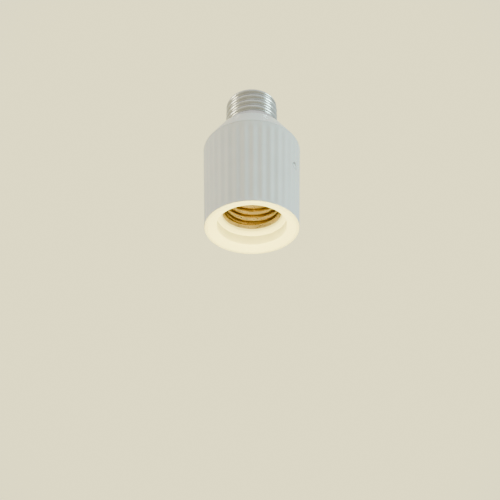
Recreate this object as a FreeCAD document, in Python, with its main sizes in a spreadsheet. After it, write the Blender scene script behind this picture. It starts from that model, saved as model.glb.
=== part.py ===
import FreeCAD, Part
import math
import os
import re

import Sketcher
from FreeCAD import Placement, Rotation, Vector

# Smart bulb socket adapter, millimetres.
# The mouth that takes the bulb is at z = 0 and faces down; the lamp base that screws into the
# ceiling holder points up. The axis of the part is Z, and the pairing button is on its side.

# Driving sizes: name, value, what it measures
SIZES = [
    ("screw_radius", 12.4, "socket shell radius inside the thread's crests"),
    ("base_radius", 13.1, "lamp base radius over the thread's crests"),
    ("shoulder_height", 45.0, "height of the shoulder's edge"),
    ("cap_band", 0.6, "height of the cap's straight edge under the shoulder"),
    ("cap_rise", 11.0, "height of the cap's cone"),
    ("cap_ledge", 3.8, "width of the cap's flat top round the lamp base"),
    ("side_room", 6.15, "distance from the socket liner to the body's ridges at the mouth"),
    ("flare", 2.05, "how much wider the body is at the shoulder than at the mouth"),
    ("body_wall", 1.9, "side wall of the body, at the ridges"),
    ("mouth_bevel", 0.5, "bevel of the body's outer edge at the mouth"),
    ("mouth_flat", 0.9, "width of the flat that the adapter stands on"),
    ("funnel_depth", 1.8, "depth of the sloping mouth face"),
    ("mouth_floor", 2.0, "thickness of the body's floor round the mouth"),
    ("bore_gap", 0.5, "how much wider the mouth's bore is than the liner"),
    ("bore_length", 5.0, "length of the mouth's bore"),
    ("collar_wall", 1.6, "wall of the collar round the bore"),
    ("flute_count", 36, "flutes round the body"),
    ("flute_radius", 1.9, "radius of the flutes' section"),
    ("flute_depth", 0.45, "depth of the flutes"),
    ("flute_phase", 6.6, "degrees from the front to the first flute"),
    ("cap_side_wall", 2.6, "level thickness of the cap's cone"),
    ("cap_top_wall", 2.2, "thickness of the cap's flat top"),
    ("cap_bevel", 0.4, "bevel of the cap's edges"),
    ("spigot_wall", 1.5, "wall of the cap's spigot inside the body"),
    ("fit_gap", 0.1, "clearance between pieces that slip together"),
    ("neck_height", 3.4, "height of the neck that carries the lamp base"),
    ("neck_wall", 2.2, "wall of that neck"),
    ("thread_depth", 0.9, "depth that the rolled thread takes inside the lamp base"),
    ("base_height", 21.4, "height of the lamp base's shell over the cap"),
    ("base_corner", 2.2, "bevel of the shell's closed end"),
    ("base_end_flat", 2.1, "width of the flat ring inside that bevel"),
    ("sheet", 0.35, "thickness of both screw shells"),
    ("insulator_height", 3.0, "height of the glass cone over the shell"),
    ("insulator_depth", 2.6, "depth of the glass inside the shell"),
    ("base_contact_radius", 4.8, "radius of the base's centre contact"),
    ("base_contact_rim", 0.7, "straight rim of the centre contact"),
    ("base_contact_dome", 1.3, "height of the solder dome"),
    ("contact_stem_radius", 1.5, "radius of the centre contact's stem"),
    ("contact_stem_length", 6.4, "length of that stem"),
    ("liner_gap", 1.6, "distance from the thread's crests to the socket liner"),
    ("liner_wall", 1.5, "wall of the socket liner"),
    ("liner_flange_reach", 3.7, "how far the liner's flange stands out"),
    ("liner_flange", 1.6, "thickness of the liner's flange"),
    ("screw_lip", 1.1, "flare of the socket shell's lip"),
    ("screw_lip_height", 1.6, "height of that lip"),
    ("screw_start", 2.4, "height of the socket shell's lip over the collar"),
    ("screw_back_length", 4.8, "length of the plain part behind the thread"),
    ("screw_back_step", 0.5, "how much wider than the thread's crests that part is"),
    ("socket_base_thick", 3.6, "thickness of the socket's insulating base"),
    ("post_height", 3.4, "height of the posts that carry the board"),
    ("post_radius", 1.6, "radius of those posts"),
    ("post_inset", 2.3, "distance of the posts' axes from the liner's outside"),
    ("post_phase", 75.0, "degrees from +X to the first post"),
    ("pin_radius", 0.8, "radius of the locating pins on the posts"),
    ("rivet_radius", 0.8, "shank radius of the shell rivets"),
    ("rivet_head", 1.3, "head radius of the shell rivets"),
    ("rivet_head_thick", 0.55, "head thickness of all rivets"),
    ("leaf_thick", 0.4, "thickness of the contact spring"),
    ("leaf_width", 5.6, "width of the contact spring"),
    ("leaf_drop", 2.6, "height of the spring's bow"),
    ("leaf_tail", 2.6, "length of the spring past the axis"),
    ("tip_radius", 2.2, "radius of the contact tip"),
    ("tip_thick", 0.8, "thickness of the contact tip"),
    ("tip_gap", 0.05, "gap between spring and contact tip"),
    ("contact_rivet_radius", 1.0, "shank radius of the contact's rivet"),
    ("contact_rivet_head", 1.5, "head radius of the contact's rivet"),
    ("board_drop", 3.8, "distance of the control board's top below the shoulder"),
    ("board_thick", 1.6, "thickness of the control board"),
    ("board_gap", 0.65, "clearance between the control board and the body"),
    ("part_gap", 0.6, "clearance between neighbours on the control board"),
    ("tall_gap", 3.0, "space between the tall parts and the cap"),
    ("film_length", 12.5, "length of the film capacitor"),
    ("film_width", 5.5, "width of the film capacitor"),
    ("can_radius", 4.0, "radius of the smoothing capacitor"),
    ("choke_radius", 4.2, "radius of the choke's spool"),
    ("choke_height", 8.4, "height of the spool"),
    ("choke_flange", 1.2, "thickness of the spool's flanges"),
    ("choke_groove", 1.3, "depth of the spool's groove over its winding"),
    ("triac_width", 10.0, "width of the power triac"),
    ("triac_length", 9.0, "length of the triac's body"),
    ("triac_height", 4.4, "height of the triac's body"),
    ("triac_tab", 6.4, "length of the triac's tab"),
    ("triac_tab_thick", 1.3, "thickness of the triac's tab"),
    ("varistor_radius", 4.0, "radius of the surge varistor"),
    ("varistor_thick", 3.0, "thickness of the surge varistor"),
    ("fuse_radius", 1.8, "radius of the fuse"),
    ("fuse_length", 8.0, "length of the fuse"),
    ("radio_length", 16.0, "length of the radio's board"),
    ("radio_thick", 0.8, "thickness of the radio's board"),
    ("radio_height", 9.0, "height of the radio's board"),
    ("shield_length", 9.0, "length of the radio's shield"),
    ("shield_thick", 2.0, "thickness of the radio's shield"),
    ("shield_height", 7.0, "height of the radio's shield"),
    ("antenna_radius", 0.45, "radius of the antenna wire"),
    ("antenna_height", 8.0, "height of the antenna wire"),
    ("lead_radius", 0.8, "radius of an insulated lead"),
    ("lead_bend", 3.0, "radius of the leads' bends"),
    ("lead_clear", 2.0, "space between the neutral lead and the neck's bore"),
    ("solder_height", 9.0, "height over the neck where the neutral lead ends"),
    ("link_radius", 0.6, "radius of a bare link wire"),
    ("button_angle", 61.6, "degrees from the front to the button"),
    ("button_height", 28.0, "height of the button's axis"),
    ("button_radius", 1.35, "radius of the pairing button"),
    ("button_gap", 0.15, "gap round the pairing button"),
    ("button_sink", 0.35, "depth of the button's face below the ridges"),
    ("button_flange_radius", 2.2, "radius of the button's inner flange"),
    ("button_flange", 0.8, "thickness of that flange"),
    ("recess_radius", 2.0, "radius of the recess round the button"),
    ("recess_depth", 0.9, "depth of that recess below the ridges"),
    ("button_board_thick", 0.8, "thickness of the button's board"),
    ("button_board_width", 8.0, "width of the button's board"),
    ("button_board_below", 6.0, "how far the button's board reaches below the button"),
    ("switch_side", 4.5, "side of the push switch"),
    ("switch_thick", 2.5, "thickness of the push switch"),
    ("plunger_radius", 1.0, "radius of the switch's plunger"),
    ("plunger_hole_depth", 1.5, "depth of the plunger's hole"),
    ("plunger_reach", 0.65, "length of the plunger outside the switch"),
]

doc = FreeCAD.newDocument("socket_adapter")
sheet = doc.addObject("Spreadsheet::Sheet", "Sizes")
for row, (alias, amount, note) in enumerate(SIZES, start=1):
    sheet.set(f"A{row}", alias)
    sheet.set(f"B{row}", str(amount))
    sheet.setAlias(f"B{row}", alias)
    sheet.set(f"C{row}", note)
doc.recompute()

ALIASES = {alias for alias, amount, note in SIZES}
nodes = []


# Helpers that read the sheet

def formula(text):
    """The text with each size's name pointing at its cell."""
    return re.sub(r"[a-z_]+", lambda word: f"Sizes.{word[0]}" if word[0] in ALIASES else word[0], text)


def number(text):
    """The present value of a formula."""
    return float(sheet.evalExpression(formula(text)))


def bind(thing, **formulas):
    """Ties properties to formulas; a double underscore stands for a dot."""
    for name, text in formulas.items():
        thing.setExpression(name.replace("__", "."), formula(text))


def node(thing, name):
    """Names a finished sub-part and puts it on the list that is written out."""
    thing.Label = name
    nodes.append(thing)
    return thing


# Heights and radii that several pieces share

LINER_RADIUS = "(screw_radius + liner_gap)"
LINER_OUTSIDE = f"({LINER_RADIUS} + liner_wall)"
BORE_RADIUS = f"({LINER_OUTSIDE} + bore_gap)"
MOUTH_RADIUS = f"({LINER_OUTSIDE} + side_room)"
SHOULDER_RADIUS = f"({MOUTH_RADIUS} + flare)"
TOP_RADIUS = "(base_radius + cap_ledge)"
SEAM = "(shoulder_height - cap_band)"
TOP_HEIGHT = "(shoulder_height + cap_rise)"
COLLAR_END = "(funnel_depth + bore_length)"
BOARD_TOP = "(shoulder_height - board_drop)"
BOARD_UNDER = f"({BOARD_TOP} - board_thick)"
SOCKET_BASE_TOP = f"({BOARD_UNDER} - post_height)"
LINER_END = f"({SOCKET_BASE_TOP} - socket_base_thick)"
CAP_CEILING = f"({TOP_HEIGHT} - cap_top_wall)"
NECK_TOP = f"({TOP_HEIGHT} + neck_height)"
NECK_RADIUS = "(base_radius - sheet - fit_gap)"
SHELL_END = f"({TOP_HEIGHT} + base_height)"
GLASS_TOP = f"({SHELL_END} + insulator_height)"
BASE_END_HOLE = "(base_radius - base_corner - base_end_flat)"
SCREW_BACK_RADIUS = "(screw_radius + screw_back_step)"
SCREW_END_HOLE = "(screw_radius * 2 / 3)"
RIVET_CIRCLE = "(screw_radius * 4 / 5)"
CONTACT_RIVET = "(screw_radius * 2 / 5)"
LEAF_ROOT = "(screw_radius * 4 / 7)"
LEAF_BEND = "(screw_radius / 4)"
POST_CIRCLE = f"({LINER_OUTSIDE} - post_inset)"
POST_COUNT = 3
BUTTON_FROM_X = "(button_angle - 90)"
# A bent sheet keeps its thickness where the inner bevel is smaller by this much
BEVEL_STEP = "sheet * (2 - sqrt(2))"


def ridge_radius(height):
    """Body radius over the ridges at a height."""
    return f"({MOUTH_RADIUS} + flare * ({height}) / shoulder_height)"


def cavity_radius(height):
    return f"({ridge_radius(height)} - body_wall)"


def cone_radius(height):
    """Radius of the cap's outer cone at a height."""
    slope = f"({SHOULDER_RADIUS} - {TOP_RADIUS}) / cap_rise"
    return f"({SHOULDER_RADIUS} - {slope} * (({height}) - shoulder_height))"


BOARD_RADIUS = f"({cavity_radius(BOARD_UNDER)} - board_gap)"


# Helpers that build

def new_body(name):
    return node(doc.addObject("PartDesign::Body", name), name)


def origin_part(body, role):
    for feature in body.Origin.OriginFeatures:
        if feature.Role == role:
            return feature
    raise ValueError(role)


def new_sketch(body, name, role, lift=None):
    """A sketch on one of the body's origin planes, lifted off it by a formula."""
    sketch = body.newObject("Sketcher::SketchObject", name)
    sketch.AttachmentSupport = (origin_part(body, role), [""])
    sketch.MapMode = "FlatFace"
    if lift:
        bind(sketch, AttachmentOffset__Base__z=lift)
    return sketch


def place_point(sketch, side, end, across, up):
    """Ties one end of a sketch line to its place."""
    for kind, text, axis in (("DistanceX", across, -2), ("DistanceY", up, -1)):
        if text == "0":
            sketch.addConstraint(Sketcher.Constraint("PointOnObject", side, end, axis))
            continue
        index = sketch.addConstraint(Sketcher.Constraint(kind, -1, 1, side, end, number(text)))
        sketch.setExpression(f"Constraints[{index}]", formula(text))


def draw_outline(sketch, corners):
    """A closed run of straight sides; each corner is two formulas, across and up."""
    points = [Vector(number(across), number(up), 0) for across, up in corners]
    sides = []
    for start, end in zip(points, points[1:] + points[:1]):
        sides.append(sketch.addGeometry(Part.LineSegment(start, end), False))
    for place, (across, up) in enumerate(corners):
        sketch.addConstraint(Sketcher.Constraint("Coincident", sides[place - 1], 2, sides[place], 1))
        place_point(sketch, sides[place], 1, across, up)


def draw_circle(sketch, across, up, radius):
    centre = Vector(number(across), number(up), 0)
    ring = sketch.addGeometry(Part.Circle(centre, Vector(0, 0, 1), number(radius)), False)
    place_point(sketch, ring, 3, across, up)
    index = sketch.addConstraint(Sketcher.Constraint("Radius", ring, number(radius)))
    sketch.setExpression(f"Constraints[{index}]", formula(radius))


def turn(body, name, corners):
    """A solid of revolution about Z from a section of straight sides (radius, height)."""
    sketch = new_sketch(body, f"{name}_section", "XZ_Plane")
    draw_outline(sketch, corners)
    turned = body.newObject("PartDesign::Revolution", name)
    turned.Profile = sketch
    turned.ReferenceAxis = (sketch, ["V_Axis"])
    turned.Angle = 360
    doc.recompute()
    return turned


def bevelled(body, base, name, size, *edges):
    """A bevel on the level circles given as (radius, height)."""
    wanted = [(number(across), number(up)) for across, up in edges]
    names = []
    for place, edge in enumerate(base.Shape.Edges, start=1):
        if not isinstance(edge.Curve, Part.Circle):
            continue
        found = (edge.Curve.Radius, edge.Curve.Center.z)
        if any(abs(found[0] - want[0]) + abs(found[1] - want[1]) < 0.001 for want in wanted):
            names.append(f"Edge{place}")
    if len(names) != len(wanted):
        raise RuntimeError(f"{name}: {len(names)} edges found, {len(wanted)} wanted")
    bevel = body.newObject("PartDesign::Chamfer", name)
    bevel.Base = (base, names)
    bind(bevel, Size=size)
    doc.recompute()
    return bevel


def box(name, length, width, height, across, along, up):
    """A block with its low corner at the three formulas."""
    block = doc.addObject("Part::Box", name)
    bind(block, Length=length, Width=width, Height=height)
    bind(block, Placement__Base__x=across, Placement__Base__y=along, Placement__Base__z=up)
    return block


def rod(name, radius, height, across, along, up):
    """An upright cylinder that starts at the three formulas."""
    cylinder = doc.addObject("Part::Cylinder", name)
    bind(cylinder, Radius=radius, Height=height)
    bind(cylinder, Placement__Base__x=across, Placement__Base__y=along, Placement__Base__z=up)
    return cylinder


def side_rod(name, radius, start, end):
    """A cylinder on the button's axis, from one distance off the part's axis to another."""
    turned = Rotation(Vector(0, 0, 1), number(BUTTON_FROM_X)) * Rotation(Vector(0, 1, 0), 90)
    cylinder = doc.addObject("Part::Cylinder", name)
    cylinder.Placement = Placement(Vector(), turned)
    bind(cylinder, Radius=radius, Height=f"({end}) - ({start})")
    bind(cylinder, Placement__Base__x=f"({start}) * cos({BUTTON_FROM_X})")
    bind(cylinder, Placement__Base__y=f"({start}) * sin({BUTTON_FROM_X})")
    bind(cylinder, Placement__Base__z="button_height")
    return cylinder


def side_box(name, thick, width, height, start, low):
    """A block that faces the button, start being its distance off the part's axis."""
    block = doc.addObject("Part::Box", name)
    block.Placement = Placement(Vector(), Rotation(Vector(0, 0, 1), number(BUTTON_FROM_X)))
    bind(block, Length=thick, Width=width, Height=height)
    half = f"({width}) / 2"
    bind(block, Placement__Base__x=f"({start}) * cos({BUTTON_FROM_X}) + {half} * sin({BUTTON_FROM_X})")
    bind(block, Placement__Base__y=f"({start}) * sin({BUTTON_FROM_X}) - {half} * cos({BUTTON_FROM_X})")
    bind(block, Placement__Base__z=low)
    return block


def fused(name, *pieces):
    union = doc.addObject("Part::MultiFuse", name)
    union.Shapes = list(pieces)
    return union


def cut(name, base, tool):
    result = doc.addObject("Part::Cut", name)
    result.Base = base
    result.Tool = tool
    return result


# Body: a fluted cup with the sloping mouth face and a collar round the bore

body_shell = new_body("body_shell")
collar_radius = f"({BORE_RADIUS} + collar_wall)"
floor_top = "(funnel_depth + mouth_floor)"
turn(body_shell, "Cup", [
    (f"{MOUTH_RADIUS} - mouth_bevel - mouth_flat", "0"),
    (f"{MOUTH_RADIUS} - mouth_bevel", "0"),
    (ridge_radius("mouth_bevel"), "mouth_bevel"),
    (ridge_radius(SEAM), SEAM),
    (cavity_radius(SEAM), SEAM),
    (cavity_radius(floor_top), floor_top),
    (collar_radius, floor_top),
    (collar_radius, COLLAR_END),
    (BORE_RADIUS, COLLAR_END),
    (BORE_RADIUS, "funnel_depth"),
])

# The flutes lean out with the wall and run past both of its ends
flute_lean = "atan(flare / shoulder_height)"
flute_from_x = "(flute_phase - 90)"
flute_low = "-mouth_bevel"
flute_centre = f"({ridge_radius(flute_low)} + flute_radius - flute_depth)"
flute = body_shell.newObject("PartDesign::SubtractiveCylinder", "Flute")
flute.AttachmentSupport = (origin_part(body_shell, "XY_Plane"), [""])
flute.MapMode = "FlatFace"
flute.AttachmentOffset = Placement(
    Vector(),
    Rotation(Vector(0, 0, 1), number(flute_from_x)) * Rotation(Vector(0, 1, 0), number(flute_lean)),
)
bind(flute, Radius="flute_radius", Height=f"({SEAM} + 3 * mouth_bevel) / cos({flute_lean})")
bind(flute, AttachmentOffset__Base__x=f"{flute_centre} * cos({flute_from_x})")
bind(flute, AttachmentOffset__Base__y=f"{flute_centre} * sin({flute_from_x})")
bind(flute, AttachmentOffset__Base__z=flute_low)
doc.recompute()
flutes = body_shell.newObject("PartDesign::PolarPattern", "Flutes")
flutes.Originals = [flute]
flutes.Axis = (origin_part(body_shell, "Z_Axis"), [""])
flutes.Angle = 360
bind(flutes, Occurrences="flute_count")
body_shell.Tip = flutes
doc.recompute()

BUTTON_RIDGE = ridge_radius("button_height")
button_turn = Rotation(Vector(0, 0, 1), number(BUTTON_FROM_X)) * Rotation(Vector(0, 1, 0), 90)


def button_cut(name, radius, start):
    """A round cut on the button's axis, from a distance off the part's axis outwards."""
    tool = body_shell.newObject("PartDesign::SubtractiveCylinder", name)
    tool.AttachmentSupport = (origin_part(body_shell, "XY_Plane"), [""])
    tool.MapMode = "FlatFace"
    tool.AttachmentOffset = Placement(Vector(), button_turn)
    bind(tool, Radius=radius, Height="body_wall * 3")
    bind(tool, AttachmentOffset__Base__x=f"({start}) * cos({BUTTON_FROM_X})")
    bind(tool, AttachmentOffset__Base__y=f"({start}) * sin({BUTTON_FROM_X})")
    bind(tool, AttachmentOffset__Base__z="button_height")
    body_shell.Tip = tool
    return tool


button_cut("ButtonRecess", "recess_radius", f"{BUTTON_RIDGE} - recess_depth")
button_cut("ButtonHole", "button_radius + button_gap", f"{BUTTON_RIDGE} - body_wall * 2")

# Cap: the cone over the shoulder, with a spigot down into the body and a neck for the lamp base

top_cap = new_body("top_cap")
spigot_end = f"({BOARD_TOP} + fit_gap)"
spigot_radius = f"({cavity_radius(spigot_end)} - fit_gap)"
spigot_bore = f"({spigot_radius} - spigot_wall)"
cone_drop = f"({SHOULDER_RADIUS} - cap_side_wall - {spigot_bore})"
cone_slope = f"(cap_rise / ({SHOULDER_RADIUS} - {TOP_RADIUS}))"
spigot_top = f"(shoulder_height + {cone_drop} * {cone_slope})"
neck_bore = f"({NECK_RADIUS} - neck_wall)"
cap_turn = turn(top_cap, "CapTurn", [
    (spigot_bore, spigot_end),
    (spigot_radius, spigot_end),
    (spigot_radius, SEAM),
    (SHOULDER_RADIUS, SEAM),
    (SHOULDER_RADIUS, "shoulder_height"),
    (TOP_RADIUS, TOP_HEIGHT),
    (NECK_RADIUS, TOP_HEIGHT),
    (NECK_RADIUS, NECK_TOP),
    (neck_bore, NECK_TOP),
    (neck_bore, CAP_CEILING),
    (f"{cone_radius(CAP_CEILING)} - cap_side_wall", CAP_CEILING),
    (spigot_bore, spigot_top),
])
bevelled(
    top_cap, cap_turn, "CapEdges", "cap_bevel",
    (SHOULDER_RADIUS, "shoulder_height"), (TOP_RADIUS, TOP_HEIGHT),
)

# Lamp base: screw shell with its closed end, glass insulator and centre contact

base_shell = new_body("base_shell")
base_turn = turn(base_shell, "BaseTurn", [
    ("base_radius - sheet", TOP_HEIGHT),
    ("base_radius", TOP_HEIGHT),
    ("base_radius", SHELL_END),
    (BASE_END_HOLE, SHELL_END),
    (BASE_END_HOLE, f"{SHELL_END} - sheet"),
    ("base_radius - sheet", f"{SHELL_END} - sheet"),
])
base_outer = bevelled(base_shell, base_turn, "BaseEnd", "base_corner", ("base_radius", SHELL_END))
bevelled(
    base_shell, base_outer, "BaseEndInside", f"base_corner - {BEVEL_STEP}",
    ("base_radius - sheet", f"{SHELL_END} - sheet"),
)

base_insulator = new_body("base_insulator")
glass_inside = "(base_radius - base_corner - sheet - fit_gap)"
stem_hole = "(contact_stem_radius + fit_gap)"
turn(base_insulator, "Glass", [
    (stem_hole, f"{SHELL_END} - sheet - insulator_depth"),
    (glass_inside, f"{SHELL_END} - sheet - insulator_depth"),
    (glass_inside, f"{SHELL_END} - sheet"),
    (f"{BASE_END_HOLE} - fit_gap", f"{SHELL_END} - sheet"),
    (f"{BASE_END_HOLE} - fit_gap", SHELL_END),
    ("base_contact_radius + fit_gap", GLASS_TOP),
    (stem_hole, GLASS_TOP),
])

base_contact = new_body("base_contact")
turn(base_contact, "ContactTurn", [
    ("0", f"{GLASS_TOP} - contact_stem_length"),
    ("contact_stem_radius", f"{GLASS_TOP} - contact_stem_length"),
    ("contact_stem_radius", GLASS_TOP),
    ("base_contact_radius", GLASS_TOP),
    ("base_contact_radius", f"{GLASS_TOP} + base_contact_rim"),
    ("base_contact_radius / 2", f"{GLASS_TOP} + base_contact_rim + base_contact_dome"),
    ("0", f"{GLASS_TOP} + base_contact_rim + base_contact_dome"),
])

# Socket: liner, screw shell, insulating base and the rivets that hold them together

socket_liner = new_body("socket_liner")
turn(socket_liner, "LinerTurn", [
    (f"{BORE_RADIUS} - fit_gap", COLLAR_END),
    (f"{LINER_OUTSIDE} + liner_flange_reach", COLLAR_END),
    (f"{LINER_OUTSIDE} + liner_flange_reach", f"{COLLAR_END} + liner_flange"),
    (LINER_OUTSIDE, f"{COLLAR_END} + liner_flange"),
    (LINER_OUTSIDE, LINER_END),
    (LINER_RADIUS, LINER_END),
    (LINER_RADIUS, f"{COLLAR_END} + liner_flange"),
])

socket_shell = new_body("socket_shell")
screw_low = f"({COLLAR_END} + screw_start)"
screw_neck = f"({screw_low} + screw_lip_height)"
screw_back = f"({LINER_END} - screw_back_length)"
turn(socket_shell, "ScrewTurn", [
    ("screw_radius + screw_lip", screw_low),
    ("screw_radius + screw_lip + sheet", screw_low),
    ("screw_radius + sheet", screw_neck),
    ("screw_radius + sheet", screw_back),
    (f"{SCREW_BACK_RADIUS} + sheet", f"{screw_back} + screw_back_step"),
    (f"{SCREW_BACK_RADIUS} + sheet", LINER_END),
    (SCREW_END_HOLE, LINER_END),
    (SCREW_END_HOLE, f"{LINER_END} - sheet"),
    (SCREW_BACK_RADIUS, f"{LINER_END} - sheet"),
    (SCREW_BACK_RADIUS, f"{screw_back} + screw_back_step"),
    ("screw_radius", screw_back),
    ("screw_radius", screw_neck),
])


def round_cuts(body, name, low, depth, circles):
    """Round holes cut upwards from a height; each is (across, along, radius)."""
    sketch = new_sketch(body, f"{name}_section", "XY_Plane", low)
    for across, along, radius in circles:
        draw_circle(sketch, across, along, radius)
    before = body.Shape.Volume
    pocket = body.newObject("PartDesign::Pocket", name)
    pocket.Profile = sketch
    pocket.Reversed = True
    bind(pocket, Length=depth)
    doc.recompute()
    if body.Shape.Volume >= before:
        raise RuntimeError(f"{name} cut nothing")
    return pocket


rivet_holes = [
    (RIVET_CIRCLE, "0", "rivet_radius + fit_gap / 2"),
    (f"-{RIVET_CIRCLE}", "0", "rivet_radius + fit_gap / 2"),
]
doc.recompute()
round_cuts(socket_shell, "ShellRivetHoles", f"{LINER_END} - 2 * sheet", "3 * sheet", rivet_holes)

socket_base = new_body("socket_base")
base_sketch = new_sketch(socket_base, "Disc_section", "XY_Plane", LINER_END)
draw_circle(base_sketch, "0", "0", f"{LINER_OUTSIDE} - fit_gap")
disc = socket_base.newObject("PartDesign::Pad", "Disc")
disc.Profile = base_sketch
bind(disc, Length="socket_base_thick")
doc.recompute()


def stud(name, radius, height):
    """The first of the equal studs that rise from the base's top to a height."""
    sketch = new_sketch(socket_base, f"{name}_section", "XY_Plane", SOCKET_BASE_TOP)
    draw_circle(sketch, f"{POST_CIRCLE} * cos(post_phase)", f"{POST_CIRCLE} * sin(post_phase)", radius)
    pad = socket_base.newObject("PartDesign::Pad", name)
    pad.Profile = sketch
    bind(pad, Length=height)
    doc.recompute()
    return pad


post = stud("Post", "post_radius", "post_height")
pin = stud("Pin", "pin_radius", "post_height + board_thick / 2")
posts = socket_base.newObject("PartDesign::PolarPattern", "Posts")
posts.Originals = [post, pin]
posts.Axis = (origin_part(socket_base, "Z_Axis"), [""])
posts.Angle = 360
posts.Occurrences = POST_COUNT
socket_base.Tip = posts
doc.recompute()
contact_hole = (f"-{CONTACT_RIVET}", "0", "contact_rivet_radius + fit_gap / 2")
round_cuts(
    socket_base, "BaseRivetHoles", f"{LINER_END} - fit_gap", "socket_base_thick + 2 * fit_gap",
    rivet_holes + [contact_hole],
)


def rivet(name, across, radius, head, under):
    """A rivet through the socket's base: shank, formed head under it and set head on top."""
    shank = rod(f"{name}_shank", radius, f"{SOCKET_BASE_TOP} - ({under}) + fit_gap", across, "0", under)
    formed = rod(f"{name}_formed", head, "rivet_head_thick", across, "0", f"{under} - rivet_head_thick")
    set_head = rod(f"{name}_set", head, "rivet_head_thick", across, "0", SOCKET_BASE_TOP)
    return [shank, formed, set_head]


shell_under = f"({LINER_END} - sheet)"
leaf_under = f"({LINER_END} - leaf_thick)"
shell_rivets = fused(
    "shell_rivets",
    *rivet("rivet_right", RIVET_CIRCLE, "rivet_radius", "rivet_head", shell_under),
    *rivet("rivet_left", f"-{RIVET_CIRCLE}", "rivet_radius", "rivet_head", shell_under),
)
node(shell_rivets, "shell_rivets")
contact_rivet = fused(
    "contact_rivet",
    *rivet(
        "rivet_contact", f"-{CONTACT_RIVET}", "contact_rivet_radius", "contact_rivet_head", leaf_under,
    ),
)
node(contact_rivet, "contact_rivet")

# Contact spring: a strip bent down to the axis, with the tip that meets the bulb

contact_spring = new_body("contact_spring")
leaf_sketch = new_sketch(contact_spring, "Leaf_section", "XZ_Plane")
leaf_low = f"({LINER_END} - leaf_drop - leaf_thick)"
draw_outline(leaf_sketch, [
    (f"-{LEAF_ROOT}", LINER_END),
    (f"-{LEAF_ROOT}", f"{LINER_END} - leaf_thick"),
    (f"-{LEAF_BEND}", f"{LINER_END} - leaf_thick"),
    ("-tip_radius / 2", leaf_low),
    ("leaf_tail", leaf_low),
    ("leaf_tail", f"{leaf_low} + leaf_thick"),
    ("-tip_radius / 2 + leaf_thick / 2", f"{leaf_low} + leaf_thick"),
    (f"-{LEAF_BEND} + leaf_thick / 2", LINER_END),
])
leaf = contact_spring.newObject("PartDesign::Pad", "Leaf")
leaf.Profile = leaf_sketch
leaf.Midplane = True
bind(leaf, Length="leaf_width")
doc.recompute()
round_cuts(
    contact_spring, "LeafHole", f"{LINER_END} - 2 * leaf_thick", "3 * leaf_thick", [contact_hole],
)

contact_tip = new_body("contact_tip")
tip_top = f"({leaf_low} - tip_gap)"
turn(contact_tip, "TipTurn", [
    ("0", tip_top),
    ("0", f"{tip_top} - tip_thick"),
    ("tip_radius / 2", f"{tip_top} - tip_thick"),
    ("tip_radius", f"{tip_top} - tip_thick / 3"),
    ("tip_radius", tip_top),
])

# Control board, on the posts of the socket's base

control_board = new_body("control_board")
board_sketch = new_sketch(control_board, "Board_section", "XY_Plane", BOARD_UNDER)
draw_circle(board_sketch, "0", "0", BOARD_RADIUS)
for step in range(POST_COUNT):
    post_turn = f"(post_phase + 360 * {step} / {POST_COUNT})"
    draw_circle(
        board_sketch, f"{POST_CIRCLE} * cos{post_turn}", f"{POST_CIRCLE} * sin{post_turn}",
        "pin_radius + fit_gap",
    )
board = control_board.newObject("PartDesign::Pad", "Board")
board.Profile = board_sketch
bind(board, Length="board_thick")
doc.recompute()

# Places on the board: each is (across, along) of a part's centre

TALL_HEIGHT = f"({CAP_CEILING} - {BOARD_TOP} - tall_gap)"
FILM_PLACE = ("0", f"(0 - {BOARD_RADIUS} * 4 / 7)")
CAN_PLACE = (f"({BOARD_RADIUS} * 6 / 11)", f"(0 - {BOARD_RADIUS} / 5)")
FILM_EDGE = f"({FILM_PLACE[1]} + film_width / 2 + part_gap)"
TRIAC_PLACE = (f"(0 - {BOARD_RADIUS} / 2)", f"({FILM_EDGE} + triac_length / 2)")
TAB_PLACE = (TRIAC_PLACE[0], f"({TRIAC_PLACE[1]} + triac_length / 2 + triac_tab / 2)")
VARISTOR_PLACE = (f"({BOARD_RADIUS} / 5)", f"({FILM_EDGE} + varistor_radius)")
FUSE_PLACE = (VARISTOR_PLACE[0], f"({VARISTOR_PLACE[1]} + varistor_radius + part_gap + fuse_length / 2)")
CHOKE_PLACE = (
    f"({FUSE_PLACE[0]} + fuse_radius + part_gap + choke_radius)",
    f"({BOARD_RADIUS} * 2 / 7)",
)
RADIO_PLACE = (f"(0 - {BOARD_RADIUS} / 10)", f"({BOARD_RADIUS} * 4 / 7)")
SHIELD_PLACE = (RADIO_PLACE[0], f"({RADIO_PLACE[1]} + radio_thick / 2 + shield_thick / 2)")
ANTENNA_PLACE = (
    f"({RADIO_PLACE[0]} - radio_length / 2 - 2 * part_gap)",
    f"({TAB_PLACE[1]} + triac_tab / 2 + 2 * part_gap)",
)


def centred_box(name, length, width, height, place, up=BOARD_TOP):
    """A block stood on a height, centred on its place."""
    across, along = place
    return box(name, length, width, height, f"{across} - {length} / 2", f"{along} - {width} / 2", up)


def laid_rod(name, radius, length, place, turn_axis, angle):
    """A cylinder that lies on the board, started at its place and turned from upright."""
    cylinder = doc.addObject("Part::Cylinder", name)
    cylinder.Placement = Placement(Vector(), Rotation(turn_axis, angle))
    across, along = place
    bind(cylinder, Radius=radius, Height=length, Placement__Base__x=across, Placement__Base__y=along)
    bind(cylinder, Placement__Base__z=f"{BOARD_TOP} + {radius} + fit_gap")
    return node(cylinder, name)


film = centred_box("film_capacitor", "film_length", "film_width", TALL_HEIGHT, FILM_PLACE)
node(film, "film_capacitor")
node(rod("smoothing_capacitor", "can_radius", TALL_HEIGHT, *CAN_PLACE, BOARD_TOP), "smoothing_capacitor")

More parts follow.
